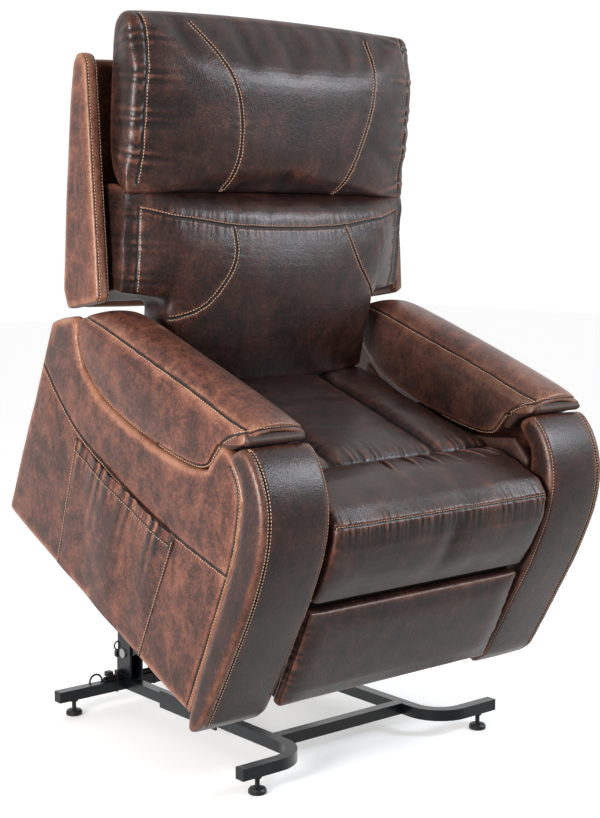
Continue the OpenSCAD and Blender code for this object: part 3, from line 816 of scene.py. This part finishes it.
class RECLINER_OT_seat_cushion(bpy.types.Operator):
    """Seat cushion: three channels, a gathered front edge and a smooth front face"""
    bl_idname = "recliner.seat_cushion"
    bl_label = "Seat cushion"

    PROFILE = [(190, 396), (262, 377), (786, 374), (790, 268), (839, 266), (850, 330), (853, 400),
               (838, 454), (802, 474), (726, 475), (640, 463), (500, 450), (369, 438), (262, 428),
               (194, 422)]
    TOP = ((194, 422), (369, 438), (500, 450), (640, 463), (726, 475), (802, 474))
    JOIN = (640, 463)         # seam across the seat
    NOSE = (842, 452)         # stitched seam along the front edge
    FOLDS = ((-236, -262, 2.6), (-40, -62, 3.4), (18, 10, 3.0), (62, 74, 4.2), (104, 136, 3.4),
             (176, 214, 4.0), (222, 268, 3.2), (262, 290, 2.4))

    def on_top(self, f, h):
        """1 on the top of the cushion, which slopes down to the rear, and 0 below it."""
        return fade(h - np.interp(f, *zip(*self.TOP)), -24, -10)

    def fold(self, x, f, h):
        """Creases that fan forward from the seam across the seat."""
        way = (f - self.JOIN[0]) / 80
        begins, ends = fade(way, 0, 0.2), fade(-way, -1.1, -0.4)
        rise = 0
        for start, end, size in self.FOLDS:
            gap = x - start - (end - start) * way
            rise = rise + size * (bell(gap - 5, 7) - 1.3 * bell(gap + 4, 4)) * begins * ends
        return shift(h=rise * self.on_top(f, h))

    def held(self, x, f, h):
        """Where the leather is drawn down: the seams, the underside and the front stitch line."""
        top = self.on_top(f, h)
        channel = bell(np.abs(x) - SEAT_SEAM, 7) * (f < self.JOIN[0])
        across_seam = bell(f - self.JOIN[0], 8)
        front_line = bell(np.hypot(f - self.NOSE[0], h - self.NOSE[1]), 9)
        hidden = np.where(f < 760, 1 - top, bell(h - 266, 10) + (f < 806) * (h < 420))
        return top * np.maximum(channel, across_seam) + front_line + hidden

    def valleys(self, x, f, h):
        """Draws the top down along its seams."""
        join = self.JOIN[0]
        drop = 9 * bell(np.abs(x) - SEAT_SEAM, 16) * (f < join) + 7 * bell(f - join, 15)
        return shift(h=-drop * self.on_top(f, h))

    def execute(self, context):
        piece = Piece("seat_cushion_leather")
        piece.slab(self.PROFILE, -SEAT_HALF + 2, SEAT_HALF - 2, 14).skin(piece.padding.voxel, 3)
        piece.shrink(6).swell(self.held, 0.01, 0.8, 10).divide()
        piece.bend(self.valleys).bend(self.fold)
        down = (0, 0, -1)
        seams = [Seam(straight_line([(x, 240, 426), (x, *self.JOIN)]), (), 4, 4, down, 0.6, 30, 24, 0.9)
                 for x in (-SEAT_SEAM, SEAT_SEAM)]
        seams.append(Seam(across(*self.JOIN, 296), (), 4, 4, down, 2.2, 22, 26, 0.9))
        seams.append(Seam(across(*self.NOSE, 298), (3.5,), 3.0, 2.8, (0, -0.7, -0.7), 2.0, 11, 17, 0.9))
        piece.sew(seams).wear()
        piece.place("leather_front", "chair", ["seat_cushion"], "leather_front", 0.7)
        return {"FINISHED"}


class RECLINER_OT_footrest_pad(bpy.types.Operator):
    """Footrest panel: a firm pad on its board"""
    bl_idname = "recliner.footrest_pad"
    bl_label = "Footrest pad"

    PROFILE = [(803, 16), (832, 16), (838, 130), (839, 255), (811, 255)]

    def held(self, x, f, h):
        """The rear face, which is stapled to the board."""
        return 1 - fade(f, 812, 824)

    def execute(self, context):
        piece = Piece("footrest_pad_leather")
        piece.slab(self.PROFILE, -SEAT_HALF + 3, SEAT_HALF - 3, 10).skin(piece.padding.voxel, 3)
        piece.shrink(3).swell(self.held, 0.0, 0.35, 24).divide()
        edge = SEAT_HALF - 5
        sides = [Seam(straight_line([(x, 828, 30), (x, 832, 245)]), (), 1.5, 3, (0, -1, 0), 1.3, 22, 14, 0.3)
                 for x in (-edge, edge)]
        piece.sew(sides).wear()
        piece.place("leather_front", "footrest", ["footrest_pad"], "leather_front", 0.8)
        return {"FINISHED"}


class RECLINER_OT_arm_pads(bpy.types.Operator):
    """Arm pads: rounded tops with stitched edges that overhang the side panels"""
    bl_idname = "recliner.arm_pads"
    bl_label = "Arm pads"

    PROFILE = [(122, 489), (166, 444), (247, 417), (356, 415), (470, 426), (573, 445), (628, 470),
               (644, 508), (656, 542), (690, 577), (712, 590), (710, 606), (675, 616), (444, 602),
               (207, 580), (138, 562), (114, 540)]
    LOWER = [(121, 496), (164, 452), (247, 425), (356, 423), (470, 431), (573, 450), (626, 474),
             (640, 509), (652, 545), (684, 582)]
    SEAM = [(122, 540), (207, 552), (307, 561), (514, 580), (646, 588), (694, 596)]
    STRIP = [(634, 492), (652, 498), (668, 533), (696, 560), (714, 570), (717, 581), (700, 590),
             (640, 556)]

    def boxing(self, name, side):
        """The recessed strip under the front edge of a pad, with painted shade over it."""
        piece = Piece(name)
        ends = sorted((side * (ARM_IN + 18), side * (ARM_OUT - 11)))
        # Painted shade over the whole recessed strip.
        piece.slab(self.STRIP, *ends, 5).skin(0.005, 3).wear().shade(0.75)
        piece.place("leather_front", "chair")

    def dome(self, x, f, h):
        """Lowers the top towards both sides of the arm."""
        across_arm = np.clip(np.abs(x - 388) / 80, 0, 1)
        return shift(h=-30 * across_arm ** 2.2 * fade(h, 520, 585))

    def held(self, x, f, h):
        """The lower rim, which is drawn in over the side panel."""
        rim = gap_to(f, h, self.PROFILE[:10])
        return 1 - fade(rim, 6, 26)

    def inside(self, x, f, h):
        """Painted shade on the face towards the seat: a dark tone."""
        return 0.55 * (1 - fade(np.abs(x), 316, 360))

    def execute(self, context):
        piece = Piece("arm_pad_right_leather")
        piece.slab(self.PROFILE, ARM_IN + 2, ARM_OUT - 2, 12, curved=True).skin(piece.padding.voxel, 3)
        piece.bend(self.dome).shrink(5).swell(self.held, 0.0, 0.7, 24).divide()
        self.boxing("arm_pad_right_boxing", 1)
        self.boxing("arm_pad_left_boxing", -1)
        outer, inner = (profile_line(x, self.LOWER) for x in (ARM_OUT, ARM_IN))
        top_out, top_in = (profile_line(x, self.SEAM) for x in (454, 322))
        front = straight_line([(462, 684, 583), (448, 704, 596), (322, 704, 596), (312, 684, 583)])
        seams = [Seam(outer, (4,), 2.2, 2.4, (-1, 0, 0)), Seam(inner, (-4,), 2.0, 2.4, (1, 0, 0)),
                 Seam(top_out, (4.5,), 2.6, 2.4, (-0.8, 0, -0.6)),
                 Seam(top_in, (-4.5,), 2.6, 2.4, (0.8, 0, -0.6)),
                 Seam(front, (-4.5,), 3.0, 2.8, (0, -0.5, -0.85), 0.8, 14, 12)]
        # Painted shade on the faces of the pads towards the seat.
        piece.sew(seams, 1.5, 22).wear().paint_shade_where(self.inside)
        piece.pair("leather_outer", "chair", 0.8)
        return {"FINISHED"}


class RECLINER_OT_arm_sides(bpy.types.Operator):
    """Outer side panels: leather over board, with the curved seam and the stitched front edge"""
    bl_idname = "recliner.arm_sides"
    bl_label = "Arm sides"

    PROFILE = [(6, 0), (770, 0), (771, 359), (762, 420), (750, 476), (724, 505), (692, 529), (652, 540),
               (640, 503), (629, 468), (573, 443), (470, 424), (356, 413), (247, 415), (165, 442),
               (121, 487), (114, 515), (96, 524), (53, 500), (18, 475)]
    CURVE = [(8, 384), (100, 341), (204, 309), (320, 298), (470, 294), (596, 300), (765, 320)]
    WELT = [(757, 2), (760, 180), (761, 340), (752, 410), (737, 468), (716, 497), (690, 514)]

    def execute(self, context):
        piece = Piece("arm_side_right_leather")
        piece.slab(self.PROFILE, PANEL_IN, PANEL_OUT, 5).skin(0.0065, 2).divide()
        inward = (-1, 0, 0)
        curve, front = (profile_line(PANEL_OUT, line) for line in (self.CURVE, self.WELT))
        rear = straight_line([(PANEL_OUT, 12, 8), (PANEL_OUT, 22, 470)])
        seams = [Seam(curve, (4.5,), 2.4, 2.4, inward), Seam(front, (4.5,), 3.0, 2.4, inward),
                 Seam(rear, (), 0.5, 2.0, inward, 0.5, 60, 20, 0.0)]
        piece.sew(seams, 3.0, 45).wear()
        piece.pair("leather_outer", "chair")
        return {"FINISHED"}


class RECLINER_OT_arm_inners(bpy.types.Operator):
    """Inner arm panels, with the boards that join them to the side panels"""
    bl_idname = "recliner.arm_inners"
    bl_label = "Arm inners"

    PROFILE = [(200, 210), (768, 210), (770, 359), (745, 476), (690, 500), (629, 466), (573, 441),
               (470, 422), (356, 411), (247, 413), (200, 428)]
    SPACERS = (360, 690)

    def execute(self, context):
        piece = Piece("arm_inner_right_leather")
        piece.slab(self.PROFILE, ARM_IN, ARM_IN + 15, 4)
        for f in self.SPACERS:
            piece.slab([(f, 214), (f + 20, 214), (f + 20, 405), (f, 405)], ARM_IN + 12, PANEL_IN)
        # Painted shade over the inner panels, between the arm and the seat.
        piece.skin(0.006, 2).wear().shade(0.6)
        piece.pair("leather_front", "chair")
        return {"FINISHED"}


class RECLINER_OT_arm_fronts(bpy.types.Operator):
    """Curved front panels with a rounded boxing on the outer side"""
    bl_idname = "recliner.arm_fronts"
    bl_label = "Arm fronts"

    PROFILE = [(776, 0), (812, 0), (823, 60), (835, 180), (844, 290), (842, 390), (826, 462),
               (797, 513), (756, 550), (715, 566), (700, 552), (690, 531), (742, 497), (766, 430),
               (775, 359)]
    FRONT = [(812, 2), (823, 60), (835, 180), (844, 290), (842, 390), (826, 462), (797, 513),
             (756, 550), (715, 566)]

    def execute(self, context):
        piece = Piece("arm_front_right_leather")
        piece.slab(self.PROFILE, ARM_IN + 1, ARM_OUT - 1, 13, 4, curved=True).skin(0.005, 3).divide()
        outer, inner = (profile_line(x, self.FRONT) for x in (452, 313))
        seams = [Seam(outer, (-4, 4), 3.0, 2.4, (-0.1, -1, -0.1)),
                 Seam(inner, (0.5,), 0.8, 2.5, (0.1, -1, -0.1), 0, 10, 10, 0.2)]
        piece.sew(seams, 2.5, 30).wear()
        piece.pair("leather_front", "chair", 0.9)
        return {"FINISHED"}


class RECLINER_OT_side_pocket(bpy.types.Operator):
    """Pocket on the left side panel, gathered on an elastic hem"""
    bl_idname = "recliner.side_pocket"
    bl_label = "Side pocket"

    FOOT = 4             # lower edge
    BRIM = 296           # upper edge, where the elastic gathers it
    WIDE = 360           # width over the brim

    def hang(self, u, w):
        """A point of the pocket, from its share of the way forward and up."""
        left, right = 236 - 32 * w, 585 + 11 * w
        f = left + (right - left) * u
        h = self.FOOT + (self.BRIM - self.FOOT) * w - 3 * math.sin(math.pi * u) * w
        side = min(u, 1 - u) * self.WIDE
        bulge = 5.5 * (1 - math.exp(-side / 45)) * (1 - math.exp(-(h - self.FOOT) / 70))
        hem = math.exp(-((self.BRIM - h) / 26) ** 2)
        folds = 1.5 * math.sin(f / 6.2 + 1.6 * math.sin(f / 17)) * math.exp(-(self.BRIM - h) / 60)
        drape = 1.6 * math.sin(f / 31 + h / 95) * (1 - math.exp(-side / 30))
        return spot(-(PANEL_OUT + 1.2 + bulge * (1 - 0.35 * hem) + folds * (side > 4) + drape), f, h)

    def execute(self, context):
        bm = bmesh.new()
        bmesh.ops.create_grid(bm, x_segments=130, y_segments=96, size=0.5)
        for v in bm.verts:
            v.co = self.hang(v.co.x + 0.5, v.co.y + 0.5)
        mesh = bpy.data.meshes.new("side_pocket_leather")
        bm.to_mesh(mesh)
        bm.free()
        piece = Piece("side_pocket_leather")
        piece.obj = link(bpy.data.objects.new("side_pocket_leather", mesh))
        mesh.flip_normals()
        inward = (1, 0, 0)
        hem = profile_line(-PANEL_OUT, [(208, 270), (320, 268), (460, 268), (591, 272)])
        rims = [profile_line(-PANEL_OUT, side) for side in
                ([(240, 8), (224, 150), (208, 292)], [(581, 8), (587, 150), (592, 290)])]
        seams = [Seam(hem, (0.5,), 2.0, 2.4, inward, 1.0, 13, 16, 0.6)]
        seams += [Seam(rim, (0.5,), 0.6, 2.5, inward, 0.5, 25, 12, 0.3) for rim in rims]
        piece.sew(seams).wear()
        wall = piece.obj.modifiers.new("wall", "SOLIDIFY")
        wall.thickness = 0.0015
        wall.offset = -1
        baked(piece.obj)
        piece.place("leather_outer", "chair", ["side_pocket"], "leather_outer")
        return {"FINISHED"}


class RECLINER_OT_back_wings(bpy.types.Operator):
    """Side wings of the back, with two rows of stitches on the narrow front face"""
    bl_idname = "recliner.back_wings"
    bl_label = "Back wings"

    PROFILE = REAR_LINE[:-1] + [(-152, 990), (-146, 1012), (-126, 1020), (-106, 1008), (-50, 905),
                                (2, 806), (78, 667), (123, 580), (117, 567)]
    FRONT = [(117, 572), (78, 667), (2, 806), (-50, 905), (-102, 1004), (-118, 1016)]

    def execute(self, context):
        piece = Piece("back_wing_right_leather")
        piece.slab(self.PROFILE, WING_IN, WING_OUT, 9).skin(0.005, 3).divide()
        seams = [Seam(profile_line(x, self.FRONT), (0.5,), 1.6, 2.4, (0, -1, -0.2))
                 for x in (WING_IN + 7, WING_OUT - 7)]
        piece.sew(seams, 1.5, 20).wear()
        piece.pair("leather_outer", "back")
        return {"FINISHED"}


class RECLINER_OT_back_panel(bpy.types.Operator):
    """Rear panel of the back, with a seam across and a stitched line along each side"""
    bl_idname = "recliner.back_panel"
    bl_label = "Back panel"

    FRONT_LINE = [(-152, 990), (-147, 1004), (-134, 1004), (-134, 996), (-114, 916), (-52, 718),
                  (10, 541), (34, 516)]

    def execute(self, context):
        piece = Piece("back_panel_leather")
        half = WING_IN - 0.6
        piece.slab(REAR_LINE[:-1] + self.FRONT_LINE, -half, half, 4).skin(0.008, 2).divide()
        forward = (0, 1, 0.3)
        seams = [Seam(across(-72, 715, half - 6), (-5, 5), 2.0, 2.4, forward)]
        for x in (-half + 10, half - 10):
            seams.append(Seam(profile_line(x, REAR_LINE[1:]), (0.5,), 1.5, 2.4, forward))
        piece.sew(seams, 4.0, 60).wear()
        piece.place("leather_outer", "back", ["back_panel"], "leather_outer")
        return {"FINISHED"}


class RECLINER_OT_lumbar_cushion(bpy.types.Operator):
    """Lumbar cushion, with its cross seam and the two curved double seams"""
    bl_idname = "recliner.lumbar_cushion"
    bl_label = "Lumbar cushion"

    UPPER = [(150, 580), (212, 592), (212, 630), (189, 700), (164, 748), (142, 784), (92, 801),
             (20, 799), (-20, 772), (-4, 724), (40, 600), (46, 530), (100, 560)]
    LOWER = [(60, 590), (72, 560), (112, 474), (142, 430), (206, 411), (238, 412), (251, 434),
             (247, 500), (236, 560), (216, 630), (192, 700), (166, 748), (140, 778), (90, 784)]
    WAIST = 294          # half width of the part between the arms
    MIDDLE = ((430, 240), (446, 250), (500, 247), (560, 236), (630, 216), (700, 192), (748, 166),
              (784, 143), (800, 112))
    EDGE = ((430, 200), (446, 203), (500, 194), (560, 186), (630, 172), (700, 158), (748, 142),
            (784, 118), (800, 90))
    BOXING = [(150, 600), (140, 640), (125, 688), (96, 768)]
    CORNER = [(88, 784), (74, 800)]
    CROSS = [(-360, 96, 766), (-250, 128, 762), (-149, 154, 754), (0, 158, 752), (149, 154, 754),
             (250, 128, 762), (360, 96, 766)]
    ARCS = ([(-152, 157, 753), (-150, 185, 698), (-178, 198, 643), (-221, 202, 593), (-285, 193, 554)],
            [(163, 156, 753), (202, 183, 681), (263, 186, 612), (290, 180, 575)])

    def crown(self, x, f, h):
        """Draws the front back towards both sides."""
        middle, edge = (np.interp(h, *zip(*line)) for line in (self.MIDDLE, self.EDGE))
        box = np.interp(h, *zip(*((h, f) for f, h in self.BOXING + self.CORNER)))
        inner = (edge - middle) * np.clip(np.abs(x) / self.WAIST, 0, 1) ** 2.2
        outer = (box - edge) * np.clip((np.abs(x) - self.WAIST) / (BACK_SEAM - self.WAIST), 0, 1.2)
        weight = np.clip((f - 70) / (middle - 70), 0, 1)
        return shift(f=(inner + outer) * weight)

    def held(self, x, f, h):
        """The boxing and cross seams, the rear and the hidden underside."""
        seam = bell(np.abs(x) - BACK_SEAM, 7) * (h > 590)
        line = bell(h - np.interp(np.abs(x), [0, 149, 250, 364], [752, 754, 762, 766]), 7) * (f > 60)
        rear = 1 - fade(f, 66, 90)
        under = 1 - fade(h, 440, 462)
        return seam + line + rear + under

    def execute(self, context):
        piece = Piece("lumbar_cushion_leather")
        piece.slab(self.UPPER, -BACK_HALF + 2, BACK_HALF - 2, 16, curved=True)
        piece.slab(self.LOWER, -self.WAIST, self.WAIST, 16, curved=True).skin(piece.padding.voxel, 4)
        piece.bend(self.crown).shrink(6).swell(self.held, 0.01, 0.8, 8).divide()
        back = (0, -1, 0)
        seams = [Seam(smooth_line(self.CROSS), (5,), 3.0, 2.8, back, 0.9, 15, 20)]
        for s, line in zip((-1, 1), self.ARCS):
            box = profile_line(s * BACK_SEAM, self.BOXING)
            seams.append(Seam(smooth_line(line), (-5, 5), 2.8, 2.6, back, 0.5, 30, 20))
            seams.append(Seam(box, (5 * s,), 3.0, 2.8, (-0.6 * s, -0.8, 0), 1.6, 26, 24))
        piece.sew(seams).wear()
        made = piece.place("leather_front", "back", ["lumbar_cushion"], "leather_front", 0.7)
        up, foot = CHAIR.to_3x3() @ Vector((0, 0, 1)), CHAIR @ spot(0, 150, 411)
        for obj in made:
            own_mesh(obj)
        return {"FINISHED"}


class RECLINER_OT_headrest_pillow(bpy.types.Operator):
    """Head pillow, with two curved double seams and a gathered boxing seam"""
    bl_idname = "recliner.headrest_pillow"
    bl_label = "Headrest pillow"

    PROFILE = [(14, 797), (76, 782), (92, 798), (95, 832), (90, 886), (66, 965), (36, 1050),
               (2, 1104), (-36, 1138), (-78, 1148), (-106, 1126), (-110, 1080), (-82, 985), (-34, 856)]
    REAR = ((800, 856, 985, 1080, 1150), (20, -34, -82, -112, -110))
    BOXING = [(66, 812), (61, 882), (37, 959), (9, 1054), (-33, 1119), (-68, 1130)]
    ARCS = ([(-243, -39, 1133), (-181, 24, 1063), (-147, 55, 989), (-139, 83, 900), (-156, 88, 804)],
            [(244, -36, 1130), (239, 17, 1067), (227, 51, 984), (196, 80, 898), (161, 88, 806)])

    def depth(self, f, h):
        """Distance forward of the rear face."""
        return f - np.interp(h, *self.REAR)

    def crown(self, x, f, h):
        """Draws the front back towards both sides and lowers the upper corners."""
        side = np.clip(np.abs(x) / BACK_SEAM, 0, 1.1) ** 2.2
        return shift(f=-27 * side * fade(self.depth(f, h), 30, 130),
                     h=-10 * side * fade(h, 1040, 1130))

    def held(self, x, f, h):
        """The boxing seam and the rear face."""
        return bell(np.abs(x) - BACK_SEAM, 7) + (1 - fade(self.depth(f, h), 20, 46))

    def execute(self, context):
        piece = Piece("headrest_pillow_leather")
        piece.slab(self.PROFILE, -BACK_HALF + 3, BACK_HALF - 3, 18, curved=True)
        piece.skin(piece.padding.voxel, 4).bend(self.crown)
        piece.shrink(6).swell(self.held, 0.015, 0.8, 7).divide()
        seams = []
        for s, line in zip((-1, 1), self.ARCS):
            box = profile_line(s * BACK_SEAM, self.BOXING)
            seams.append(Seam(smooth_line(line), (-5, 5), 2.8, 2.6, (0, -0.8, -0.6), 0.5, 30, 20))
            seams.append(Seam(box, (5 * s,), 3.0, 2.8, (-0.5 * s, -0.75, -0.4), 2.8, 30, 34))
        piece.sew(seams).wear()
        piece.place("leather_front", "headrest", ["headrest_pillow"], "leather_outer", 0.7)
        return {"FINISHED"}


class RECLINER_OT_frame_finish(bpy.types.Operator):
    """Finishes of the steel, timber and plastic parts"""
    bl_idname = "recliner.frame_finish"
    bl_label = "Frame finishes"

    def execute(self, context):
        for part in frame["record"]["subparts"]:
            mesh = frame["nodes"][part["node"]].data
            mesh.materials.clear()
            mesh.materials.append(MATERIALS[part["material_slot"]])
        return {"FINISHED"}


class RECLINER_OT_stage(bpy.types.Operator):
    """Camera, floor and studio lights"""
    bl_idname = "recliner.stage"
    bl_label = "Stage"

    FLOOR_HALF = 14.0    # half width of the floor, in metres

    def lamp(self, name, azimuth, rise, distance, size, power, colour):
        """A soft light at an azimuth and rise round the chair, facing it."""
        low, high = CAD_BOX
        middle = (low + high) / 2
        data = bpy.data.lights.new(name, "AREA")
        data.shape = "RECTANGLE"
        data.size, data.size_y = size
        data.energy = power
        data.color = colour
        a, e = math.radians(azimuth), math.radians(rise)
        away = Vector((-math.sin(a) * math.cos(e), -math.cos(a) * math.cos(e), math.sin(e)))
        obj = link(bpy.data.objects.new(name, data))
        obj.location = middle + away * distance
        obj.rotation_euler = away.to_track_quat("Z", "Y").to_euler()

    def studio(self, stage):
        """A white backdrop behind the chair that falls to grey in front of it."""
        world = bpy.data.worlds.new("studio")
        world.use_nodes = True
        tree = world.node_tree
        where = tree.nodes.new("ShaderNodeTexCoord")
        facing = tree.nodes.new("ShaderNodeVectorMath")
        facing.operation = "DOT_PRODUCT"
        facing.inputs[1].default_value = (math.sin(stage.heading), math.cos(stage.heading), 0)
        level = tree.nodes.new("ShaderNodeMapRange")
        level.interpolation_type = "SMOOTHSTEP"
        for key, value in (("From Min", -0.5), ("From Max", 0.75), ("To Min", 0.36), ("To Max", 1.05)):
            level.inputs[key].default_value = value
        tree.links.new(where.outputs["Generated"], facing.inputs[0])
        tree.links.new(facing.outputs["Value"], level.inputs["Value"])
        tree.links.new(level.outputs["Result"], tree.nodes["Background"].inputs["Strength"])
        tree.nodes["Background"].inputs["Color"].default_value = (1.0, 1.0, 1.0, 1.0)
        return world

    def execute(self, context):
        scene, stage = context.scene, context.scene.recliner_stage
        eye = bpy.data.cameras.new("camera")
        eye.lens = stage.lens
        eye.sensor_width = 36
        eye.clip_end = 60
        camera = link(bpy.data.objects.new("camera", eye))
        camera.location = stage.eye
        camera.rotation_euler = (math.pi / 2 - stage.dip, 0, -stage.heading)
        scene.camera = camera
        bm = bmesh.new()
        bmesh.ops.create_grid(bm, x_segments=2, y_segments=2, size=self.FLOOR_HALF)
        mesh = bpy.data.meshes.new("floor")
        bm.to_mesh(mesh)
        bm.free()
        floor = link(bpy.data.objects.new("floor", mesh))
        mesh.materials.append(floor_paint("floor_paint"))
        floor.visible_diffuse = floor.visible_glossy = False
        scene.world = self.studio(stage)
        scene.view_settings.view_transform = "Standard"
        self.lamp("key", 75, 6, 3.4, (1.0, 1.3), stage.key, (1.0, 0.97, 0.94))
        self.lamp("front", -41, 27, 3.4, (0.9, 0.9), stage.fill, (0.86, 0.92, 1.0))
        return {"FINISHED"}


class RECLINER_PT_pieces(bpy.types.Panel):
    """Lists the settings and the pieces in the sidebar."""
    bl_idname = "RECLINER_PT_pieces"
    bl_label = "Lift recliner"
    bl_space_type = "VIEW_3D"
    bl_region_type = "UI"
    bl_category = "Recliner"

    def draw(self, context):
        layout = self.layout
        for group in SETTINGS:
            box = layout.box()
            settings = getattr(context.scene, group)
            for key in settings.bl_rna.properties.keys():
                if key not in {"rna_type", "name"}:
                    box.prop(settings, key)
        for step in STEPS:
            layout.operator(step.bl_idname)


SETTINGS = {"recliner_leather": LeatherSettings, "recliner_thread": ThreadSettings,
            "recliner_padding": PaddingSettings, "recliner_stage": StageSettings}
STEPS = (RECLINER_OT_stage, RECLINER_OT_frame_finish, RECLINER_OT_seat_cushion,
         RECLINER_OT_footrest_pad, RECLINER_OT_arm_pads, RECLINER_OT_arm_sides,
         RECLINER_OT_arm_inners, RECLINER_OT_arm_fronts, RECLINER_OT_side_pocket,
         RECLINER_OT_back_wings, RECLINER_OT_back_panel, RECLINER_OT_lumbar_cushion,
         RECLINER_OT_headrest_pillow)
CLASSES = (*SETTINGS.values(), *STEPS, RECLINER_PT_pieces)


def register():
    """Registers the settings, the operators and the panel."""
    for cls in CLASSES:
        bpy.utils.register_class(cls)
    for name, group in SETTINGS.items():
        setattr(bpy.types.Scene, name, PointerProperty(type=group))


def unregister():
    """Removes everything that register added."""
    for name in SETTINGS:
        delattr(bpy.types.Scene, name)
    for cls in reversed(CLASSES):
        bpy.utils.unregister_class(cls)


def main():
    """Builds the chair."""
    register()
    mix_materials(bpy.context.scene)
    for step in STEPS:
        getattr(bpy.ops.recliner, step.bl_idname.split(".")[1])()


if __name__ == "__main__":
    main()
